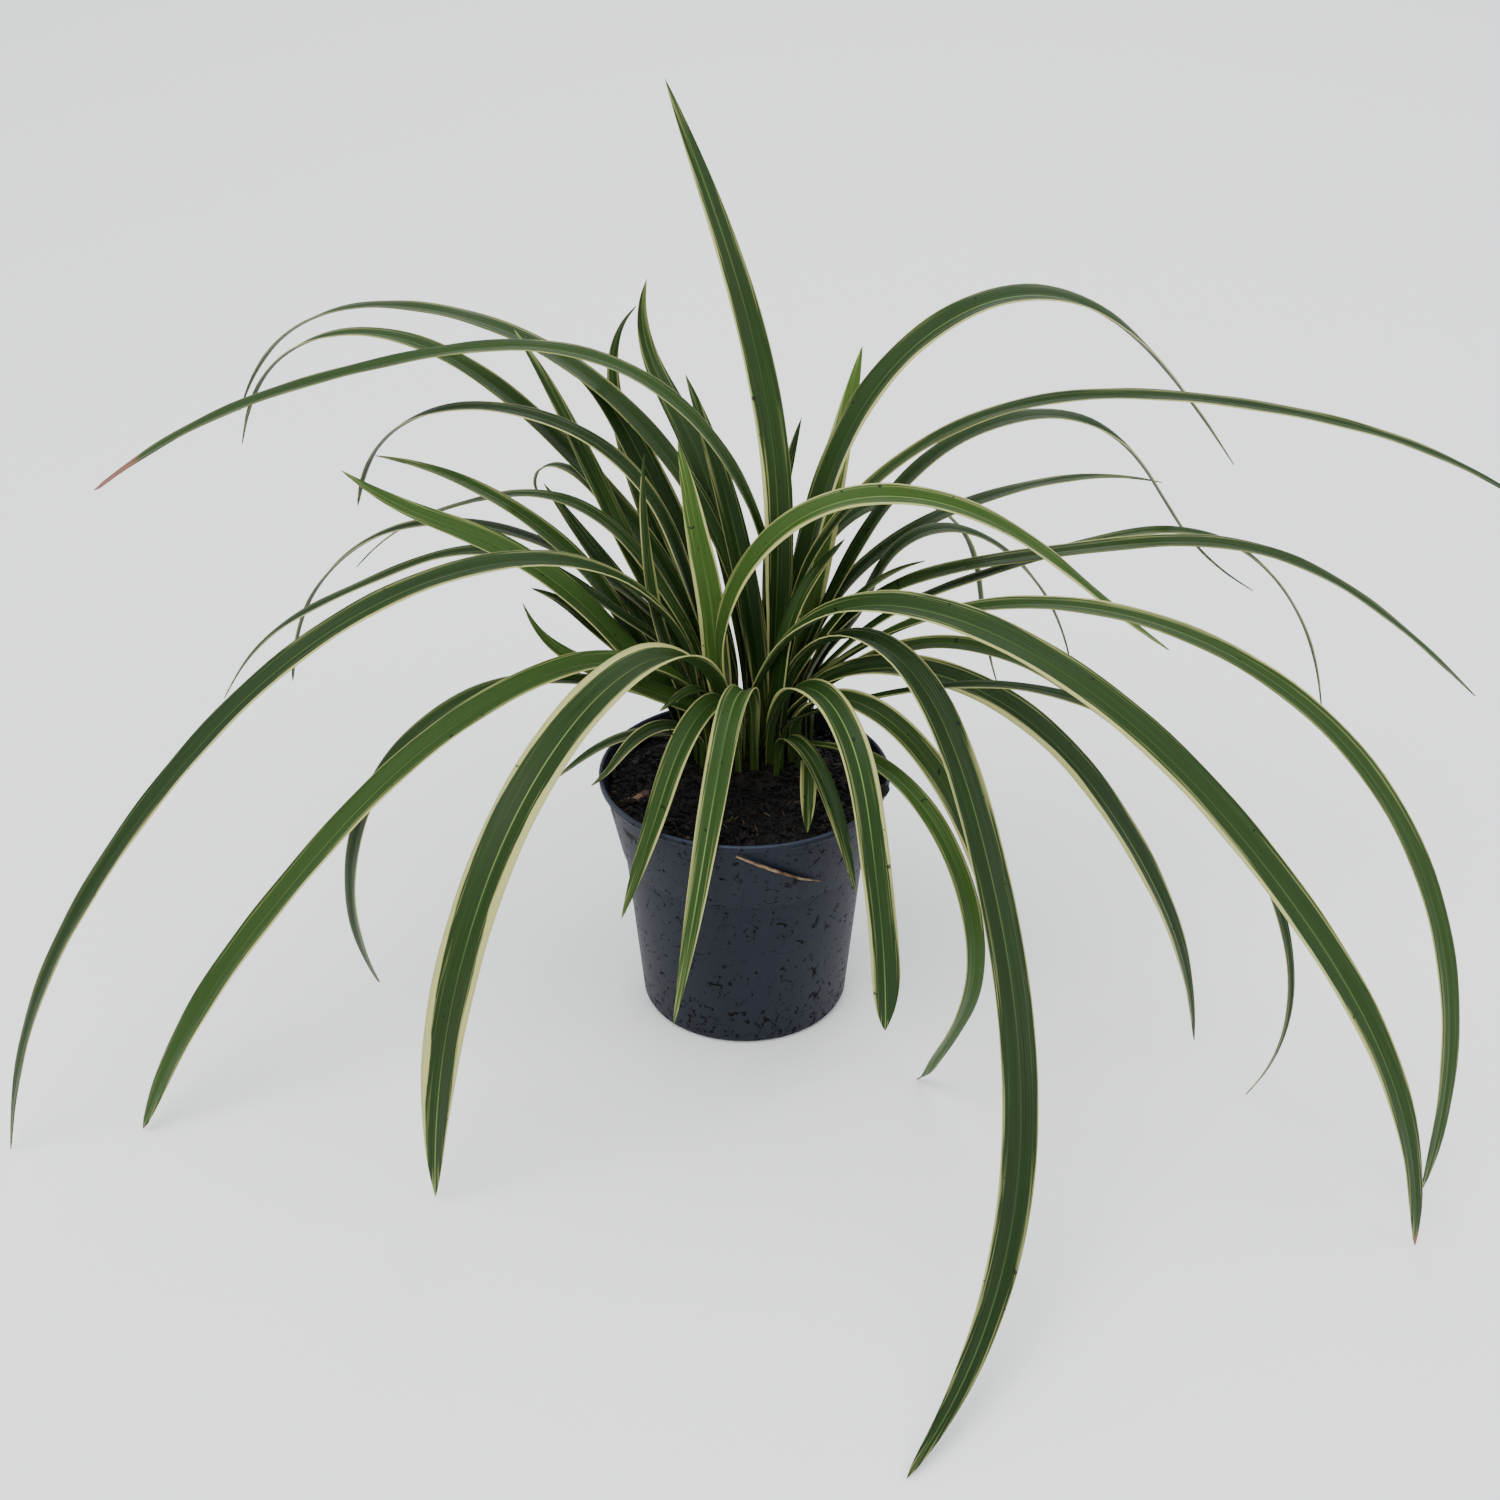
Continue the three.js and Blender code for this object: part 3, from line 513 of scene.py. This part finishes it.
def bladeMaterial(name, underside):
    look = bladeLook
    material, tree, shader = newMaterial(name, 0.45, 0.14)
    metres = addNode(tree, "ShaderNodeAttribute", {"attribute_name": "bladeMetres"})
    traits = addNode(tree, "ShaderNodeAttribute", {"attribute_name": "bladeTraits"})
    uvMap = addNode(tree, "ShaderNodeUVMap", {"uv_map": "acrossAlong"})
    place = addNode(tree, "ShaderNodeSeparateXYZ", sockets={0: metres.outputs["Vector"]})
    trait = addNode(tree, "ShaderNodeSeparateColor", sockets={0: traits.outputs["Color"]})
    share = addNode(tree, "ShaderNodeSeparateXYZ", sockets={0: uvMap.outputs["UV"]})
    across, along, half = place.outputs["X"], place.outputs["Y"], place.outputs["Z"]
    # streaks run the length of the blade: 0.6 mm wide, tens of millimetres long
    streakAcross = addNode(tree, "ShaderNodeMath", {"operation": "MULTIPLY"}, {0: across, 1: 1700})
    streakAlong = addNode(tree, "ShaderNodeMath", {"operation": "MULTIPLY"}, {0: along, 1: 22})
    streakPlace = addNode(tree, "ShaderNodeCombineXYZ",
        sockets={0: streakAcross.outputs[0], 1: streakAlong.outputs[0], 2: trait.outputs[2]})
    streaks = addNode(tree, "ShaderNodeTexNoise", {"Scale": 1, "Detail": 2},
        {"Vector": streakPlace.outputs[0]})
    # patches, 4 mm wide and 20 mm long
    patchAcross = addNode(tree, "ShaderNodeMath", {"operation": "MULTIPLY"}, {0: across, 1: 260})
    patchAlong = addNode(tree, "ShaderNodeMath", {"operation": "MULTIPLY"}, {0: along, 1: 45})
    patchPlace = addNode(tree, "ShaderNodeCombineXYZ",
        sockets={0: patchAcross.outputs[0], 1: patchAlong.outputs[0], 2: trait.outputs[2]})
    patches = addNode(tree, "ShaderNodeTexNoise", {"Scale": 1, "Detail": 3},
        {"Vector": patchPlace.outputs[0]})
    # green in uneven patches, lighter on pale blades and along the veins
    green = addNode(tree, "ShaderNodeMix", {"data_type": "RGBA"},
        {0: patches.outputs["Fac"], 6: look["greenDeep"], 7: look["green"]}).outputs[2]
    paleShare = addNode(tree, "ShaderNodeMath", {"operation": "MULTIPLY"}, {0: trait.outputs[1], 1: 0.85})
    green = addNode(tree, "ShaderNodeMix", {"data_type": "RGBA"},
        {0: paleShare.outputs[0], 6: green, 7: look["greenPale"]}).outputs[2]
    fresh = addNode(tree, "ShaderNodeMix", {"data_type": "RGBA"},
        {0: streaks.outputs["Fac"], 6: look["freshDeep"], 7: look["fresh"]}).outputs[2]
    veinLight = addNode(tree, "ShaderNodeValToRGB", {"stops": [(0.45, 0), (0.75, 0.3)]},
        {"Fac": streaks.outputs["Fac"]}).outputs["Color"]
    green = addNode(tree, "ShaderNodeMix", {"data_type": "RGBA"},
        {0: veinLight, 6: green, 7: look["greenPale"]}).outputs[2]
    if underside:
        green = addNode(tree, "ShaderNodeMix", {"data_type": "RGBA"},
            {0: 0.6, 6: green, 7: look["under"]}).outputs[2]
    green = addNode(tree, "ShaderNodeMix", {"data_type": "RGBA"},
        {0: traits.outputs["Alpha"], 6: green, 7: fresh}).outputs[2]
    # small black specks of splashed mix, up to 1 mm
    speckNoise = addNode(tree, "ShaderNodeTexNoise", {"Scale": 330, "Detail": 2},
        {"Vector": metres.outputs["Vector"]})
    speck = addNode(tree, "ShaderNodeValToRGB", {"stops": [(0.73, 0), (0.75, 0.8)]},
        {"Fac": speckNoise.outputs["Fac"]}).outputs["Color"]
    # the cream edge: creamWidth gives its width in metres, and the patches make it ragged
    fromMiddle = addNode(tree, "ShaderNodeMath", {"operation": "ABSOLUTE"}, {0: across}).outputs[0]
    gap = addNode(tree, "ShaderNodeMath", {"operation": "SUBTRACT"}, {0: half, 1: fromMiddle}).outputs[0]
    edgeWidth = addNode(tree, "ShaderNodeAttribute", {"attribute_name": "creamWidth"}).outputs["Fac"]
    wander = addNode(tree, "ShaderNodeMath", {"operation": "MULTIPLY"}, {0: patches.outputs["Fac"], 1: 0.9})
    ragged = addNode(tree, "ShaderNodeMath", {"operation": "ADD"}, {0: 0.55, 1: wander.outputs[0]})
    creamReach = addNode(tree, "ShaderNodeMath", {"operation": "MULTIPLY"},
        {0: edgeWidth, 1: ragged.outputs[0]})
    inside = addNode(tree, "ShaderNodeMath", {"operation": "SUBTRACT"},
        {0: creamReach.outputs[0], 1: gap}).outputs[0]
    cream = addNode(tree, "ShaderNodeMapRange", {1: 0.0, 2: 0.0004}, {0: inside}).outputs[0]
    # thin cream stripes also run inside the edge
    nearEdge = addNode(tree, "ShaderNodeMapRange", {1: -0.0016, 2: 0.0}, {0: inside}).outputs[0]
    stripe = addNode(tree, "ShaderNodeValToRGB", {"stops": [(0.52, 0), (0.62, 1)]},
        {"Fac": streaks.outputs["Fac"]}).outputs["Color"]
    stripeShare = addNode(tree, "ShaderNodeMath", {"operation": "MULTIPLY"}, {0: nearEdge, 1: stripe})
    stripes = addNode(tree, "ShaderNodeMath", {"operation": "MULTIPLY"},
        {0: stripeShare.outputs[0], 1: 0.45}).outputs[0]
    border = addNode(tree, "ShaderNodeMath", {"operation": "MULTIPLY"}, {0: cream, 1: 0.9}).outputs[0]
    creamShare = addNode(tree, "ShaderNodeMath", {"operation": "MAXIMUM", "use_clamp": True},
        {0: border, 1: stripes}).outputs[0]
    creamTone = addNode(tree, "ShaderNodeMix", {"data_type": "RGBA"},
        {0: patches.outputs["Fac"], 6: look["cream"], 7: look["creamWarm"]}).outputs[2]
    colour = addNode(tree, "ShaderNodeMix", {"data_type": "RGBA"},
        {0: creamShare, 6: green, 7: creamTone}).outputs[2]
    # pale midrib line, fading out within 0.34 mm of the middle
    middle = addNode(tree, "ShaderNodeMapRange", {1: 0.00034, 2: 0.00008}, {0: fromMiddle}).outputs[0]
    midribShow = addNode(tree, "ShaderNodeAttribute", {"attribute_name": "midribShow"}).outputs["Fac"]
    strength = addNode(tree, "ShaderNodeMath", {"operation": "MULTIPLY"},
        {0: midribShow, 1: 0.3 if underside else 0.8}).outputs[0]
    midrib = addNode(tree, "ShaderNodeMath", {"operation": "MULTIPLY"},
        {0: middle, 1: strength}).outputs[0]
    colour = addNode(tree, "ShaderNodeMix", {"data_type": "RGBA"},
        {0: midrib, 6: colour, 7: look["midrib"]}).outputs[2]
    # olive sheathed base and dry brown tip
    nearBase = addNode(tree, "ShaderNodeMapRange", {1: 0.03, 2: 0.002}, {0: along}).outputs[0]
    baseShare = addNode(tree, "ShaderNodeMath", {"operation": "MULTIPLY"}, {0: nearBase, 1: 0.6})
    colour = addNode(tree, "ShaderNodeMix", {"data_type": "RGBA"},
        {0: baseShare.outputs[0], 6: colour, 7: look["base"]}).outputs[2]
    fromTip = addNode(tree, "ShaderNodeMath", {"operation": "SUBTRACT"},
        {0: 1.0, 1: share.outputs["Y"]}).outputs[0]
    uneven = addNode(tree, "ShaderNodeMath", {"operation": "ADD"}, {0: 0.7, 1: patches.outputs["Fac"]})
    living = addNode(tree, "ShaderNodeMath", {"operation": "MULTIPLY"},
        {0: fromTip, 1: uneven.outputs[0]}).outputs[0]
    dry = addNode(tree, "ShaderNodeMath", {"operation": "SUBTRACT"},
        {0: trait.outputs[0], 1: living}).outputs[0]
    dryShare = addNode(tree, "ShaderNodeMapRange", {1: -0.004, 2: 0.012}, {0: dry}).outputs[0]
    colour = addNode(tree, "ShaderNodeMix", {"data_type": "RGBA"},
        {0: dryShare, 6: colour, 7: look["dry"]}).outputs[2]
    colour = addNode(tree, "ShaderNodeMix", {"data_type": "RGBA"},
        {0: speck, 6: colour, 7: look["speck"]}).outputs[2]
    tree.links.new(colour, shader.inputs["Base Color"])
    rough = addNode(tree, "ShaderNodeMapRange", {1: 0.3, 2: 0.7, 3: 0.38, 4: 0.55},
        {0: patches.outputs["Fac"]})
    tree.links.new(rough.outputs[0], shader.inputs["Roughness"])
    # raised veins 0.9 mm apart, drawn a little coarser than the real 0.5 mm so that they show
    veinTurn = addNode(tree, "ShaderNodeMath", {"operation": "MULTIPLY"},
        {0: across, 1: 2 * math.pi / look["veinSpacing"]}).outputs[0]
    veins = addNode(tree, "ShaderNodeMath", {"operation": "SINE"}, {0: veinTurn}).outputs[0]
    veinHeight = addNode(tree, "ShaderNodeMath", {"operation": "MULTIPLY"}, {0: veins, 1: 0.5}).outputs[0]
    height = addNode(tree, "ShaderNodeMath", {"operation": "ADD"},
        {0: veinHeight, 1: streaks.outputs["Fac"]}).outputs[0]
    bump = addNode(tree, "ShaderNodeBump", {"Strength": 0.35, "Distance": 0.00015}, {"Height": height})
    tree.links.new(bump.outputs[0], shader.inputs["Normal"])
    return material


leafTop = bladeMaterial("waxed_sedge_leaf_upper", False)
leafUnder = bladeMaterial("sedge_leaf_underside", True)


def spreadFrom(start):
    # vertex layers by walking outward along edges
    seen, found = set(start), [list(start)]
    while True:
        ring = {edge.other_vert(vert) for vert in found[-1] for edge in vert.link_edges} - seen
        if not ring:
            return found
        seen |= ring
        found.append(list(ring))


def bladeStations(node):
    # middle, left, up, half width and fold of each CAD cross-section, from base to tip
    work = bmesh.new()
    work.from_mesh(node.data)
    bmesh.ops.remove_doubles(work, verts=work.verts, dist=2e-5)
    nearest = min(work.verts, key=lambda vert: (vert.co - crownMiddle).length)
    tip = spreadFrom([nearest])[-1][0]
    rings = spreadFrom([tip])[::-1]
    stations = []
    for ring in rings[:-1]:
        points = [vert.co.copy() for vert in ring]
        pairs = [(a, b) for a in points for b in points if a is not b]
        sideA, sideB = max(pairs, key=lambda pair: (pair[0] - pair[1]).length)
        others = [point for point in points if point is not sideA and point is not sideB]
        middle = sum(others, Vector()) / len(others)
        stations.append([middle, sideA, sideB])
    stations.append([tip.co.copy()] * 3)
    work.free()
    middles = [station[0] for station in stations]
    result = []
    for i, (middle, sideA, sideB) in enumerate(stations[:-1]):
        ahead = (middles[i + 1] - middles[max(i - 1, 0)]).normalized()
        up = (sideA + sideB) / 2 - middle
        up = (up - ahead * up.dot(ahead)).normalized()
        left = up.cross(ahead)
        if (sideA - sideB).dot(left) < 0:
            sideA, sideB = sideB, sideA
        span = (sideA - sideB) / 2
        rise = ((sideA + sideB) / 2 - middle).dot(up)
        result.append((middle, span.normalized(), up, span.length, rise))
    last = result[-1]
    result.append((middles[-1], last[1], last[2], 0.0, 0.0))
    return result


def makeBlade(node):
    look = bladeLook
    traits = bladeTraits.get(node.name, {})
    draw = random.Random(node.name)
    stations = bladeStations(node)
    middles, lefts, ups = ([station[k] for station in stations] for k in range(3))
    halves, rises = ([station[k] for station in stations] for k in (3, 4))
    length = sum((b - a).length for a, b in zip(middles, middles[1:]))
    # the foot runs on down into the crown
    foot = middles[0] - (middles[1] - middles[0]).normalized() * look["root"]
    stations.insert(0, (foot,) + stations[0][1:])
    middles, lefts, ups = ([station[k] for station in stations] for k in range(3))
    halves, rises = ([station[k] for station in stations] for k in (3, 4))
    widest = max(halves)
    blunt = traits.get("blunt", 0.85)
    midrib = traits.get("midrib", 0.3)
    cream = traits.get("cream", (draw.uniform(0, 0.4), draw.uniform(0.1, 0.6)))
    pale = traits.get("pale", draw.uniform(0.1, 0.45))
    dryTip = traits.get("dry", draw.choice((0, 0, 0.01, 0.02)))
    fresh = traits.get("fresh", 1.0 if slotOf[node.name] == "fresh_leaf" else draw.uniform(0, 0.15))
    phase = draw.uniform(0, 10)
    work = bmesh.new()
    work.loops.layers.uv.new("acrossAlong")
    metres = work.verts.layers.float_vector.new("bladeMetres")
    traitLayer = work.verts.layers.float_color.new("bladeTraits")
    creamLayer = work.verts.layers.float.new("creamWidth")
    midribLayer = work.verts.layers.float.new("midribShow")
    bmesh.ops.create_grid(work, x_segments=look["across"], y_segments=look["along"], size=1, calc_uvs=True)
    for vert in work.verts:
        across, along = -vert.co.x, (vert.co.y + 1) / 2
        place = along * (len(stations) - 1)
        half = max(smoothAt(halves, place), 0)
        if along > 0.4:
            half = widest * (half / widest) ** blunt
        rise = smoothAt(rises, place)
        left, up = smoothAt(lefts, place).normalized(), smoothAt(ups, place).normalized()
        keel = (math.sqrt(across * across + 0.03) - 0.173) / 0.842 * rise
        ribs = look["rib"] * half * math.sin(math.pi * abs(across)) ** 2
        fade = min(1, half / 0.003)
        ripple = 0.00012 * math.sin(along * length * 190 + phase) * across * abs(across) * fade
        vert[metres] = (across * half, along * length, half)
        vert[traitLayer] = (dryTip, pale, phase, fresh)
        wander = 0.8 + 0.35 * math.sin(along * 9 + phase + 2 * across)
        shown = min(1, 0.15 + along * 2.5) * min(1, (1 - along) * 6) * min(1, half / widest * 1.2)
        vert[midribLayer] = midrib * (0.6 + 0.4 * math.sin(along * 13 + phase)) * min(1, along * 4)
        vert[creamLayer] = (cream[0] if across > 0 else cream[1]) * 0.001 * wander * shown
        vert.co = smoothAt(middles, place) + left * (across * half) + up * (keel + ribs + ripple)
    bmesh.ops.remove_doubles(work, verts=work.verts, dist=1e-6)
    bmesh.ops.recalc_face_normals(work, faces=work.faces)
    work.faces.ensure_lookup_table()
    middleFace = work.faces[len(work.faces) // 2]
    ringPlace = min(range(len(middles)),
        key=lambda i: (middles[i] - middleFace.calc_center_median()).length)
    if middleFace.normal.dot(ups[ringPlace]) < 0:
        bmesh.ops.reverse_faces(work, faces=work.faces)
    piece = newPiece("blade_" + node.name.removeprefix("leaf_"), work, [leafTop, leafUnder])
    body = piece.modifiers.new("thickness", "SOLIDIFY")
    body.thickness, body.offset, body.use_even_offset = look["thickness"], 0, False
    body.material_offset, body.material_offset_rim = 1, 0
    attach(piece, "root")
    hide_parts(node.name)


for nodeName, bladeNode in sorted(nodes.items()):
    if nodeName.startswith("leaf_"):
        makeBlade(bladeNode)
print("blades made")


# crown: short fibrous sheaths stained dark by wet mix, darkest at the foot

crownLook = {"pale": "#2c2614", "brown": "#0d0906", "fibre": 0.0006}


def crownMaterial():
    look = crownLook
    material, tree, shader = newMaterial("fibrous_leaf_sheath", 0.7, 0.3)
    place = addNode(tree, "ShaderNodeTexCoord").outputs["Object"]
    split = addNode(tree, "ShaderNodeSeparateXYZ", sockets={0: place})
    stretch = addNode(tree, "ShaderNodeMapping", {"Scale": (1, 1, 0.12)}, {"Vector": place})
    fibres = addNode(tree, "ShaderNodeTexNoise", {"Scale": 1 / look["fibre"], "Detail": 3},
        {"Vector": stretch.outputs[0]})
    climb = addNode(tree, "ShaderNodeMapRange", {1: crownLow.z, 2: crownHigh.z + 0.001},
        {0: split.outputs["Z"]}).outputs[0]
    paleShare = addNode(tree, "ShaderNodeMath", {"operation": "MULTIPLY"},
        {0: climb, 1: fibres.outputs["Fac"]})
    colour = addNode(tree, "ShaderNodeMix", {"data_type": "RGBA"},
        {0: paleShare.outputs[0], 6: look["brown"], 7: look["pale"]}).outputs[2]
    tree.links.new(colour, shader.inputs["Base Color"])
    bump = addNode(tree, "ShaderNodeBump", {"Strength": 0.8, "Distance": 0.0005},
        {"Height": fibres.outputs["Fac"]})
    tree.links.new(bump.outputs[0], shader.inputs["Normal"])
    return material


sheath = crownMaterial()


def makeCrown():
    work = bmesh.new()
    work.from_mesh(nodes["crown"].data)
    bmesh.ops.remove_doubles(work, verts=work.verts, dist=1e-5)
    bmesh.ops.subdivide_edges(work, edges=work.edges, cuts=4, use_grid_fill=True)
    bmesh.ops.triangulate(work, faces=work.faces)
    for vert in work.verts:
        if vert.co.z > crownLow.z + 0.0002:
            hollow = abs(noise.fractal(vert.co * 260, 0.9, 2, 3)) * 0.002
            vert.co.z -= hollow + abs(noise.noise(vert.co * 1100)) * 0.001
    piece = newPiece("crown_sheaths", work, [sheath])
    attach(piece, "root")
    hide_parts("crown")


makeCrown()
print("crown made")


# stage, light and camera

stageLook = {"floor": "#fafbfc", "size": 6.0, "key": 34, "fill": 20, "back": 16, "world": 1.15,
    "sky": "#f4f7fb"}
cameraLook = {"target": (0.002, 0, 0.102), "distance": 0.893, "elevation": 30, "lens": 60}


def makeStage():
    look = stageLook
    work = bmesh.new()
    bmesh.ops.create_grid(work, x_segments=1, y_segments=1, size=look["size"])
    for vert in work.verts:
        vert.co.z = cadBox[0][2] - 0.0002
    material, tree, shader = newMaterial("painted_studio_floor", 0.8, 0.2)
    shader.inputs["Base Color"].default_value = linearColour(look["floor"])
    floor = newPiece("studio_floor", work, [material], smooth=False)
    world = bpy.data.worlds.new("studio")
    world.use_nodes = True
    world.node_tree.nodes["Background"].inputs["Color"].default_value = linearColour(look["sky"])
    world.node_tree.nodes["Background"].inputs["Strength"].default_value = look["world"]
    bpy.context.scene.world = world
    for name, power, size, place in (("key", look["key"], 1.6, (-0.7, -0.9, 1.7)),
            ("fill", look["fill"], 2.0, (1.5, -0.6, 1.2)), ("back", look["back"], 1.6, (0.2, 1.6, 1.5))):
        lamp = bpy.data.lights.new(name, "AREA")
        lamp.energy, lamp.size, lamp.color = power, size, (1.0, 0.99, 0.97)
        light = bpy.data.objects.new(name, lamp)
        light.location = place
        light.rotation_euler = (Vector((0, 0, 0.12)) - Vector(place)).to_track_quat("-Z", "Y").to_euler()
        bpy.context.scene.collection.objects.link(light)


def makeCamera():
    look = cameraLook
    climb = math.radians(look["elevation"])
    target = Vector(look["target"])
    place = target + Vector((0, -math.cos(climb), math.sin(climb))) * look["distance"]
    data = bpy.data.cameras.new("studio camera")
    data.lens, data.sensor_width = look["lens"], 36
    camera = bpy.data.objects.new("studio camera", data)
    camera.location = place
    camera.rotation_euler = (target - place).to_track_quat("-Z", "Y").to_euler()
    bpy.context.scene.collection.objects.link(camera)
    bpy.context.scene.camera = camera


makeStage()
makeCamera()
print("stage made")
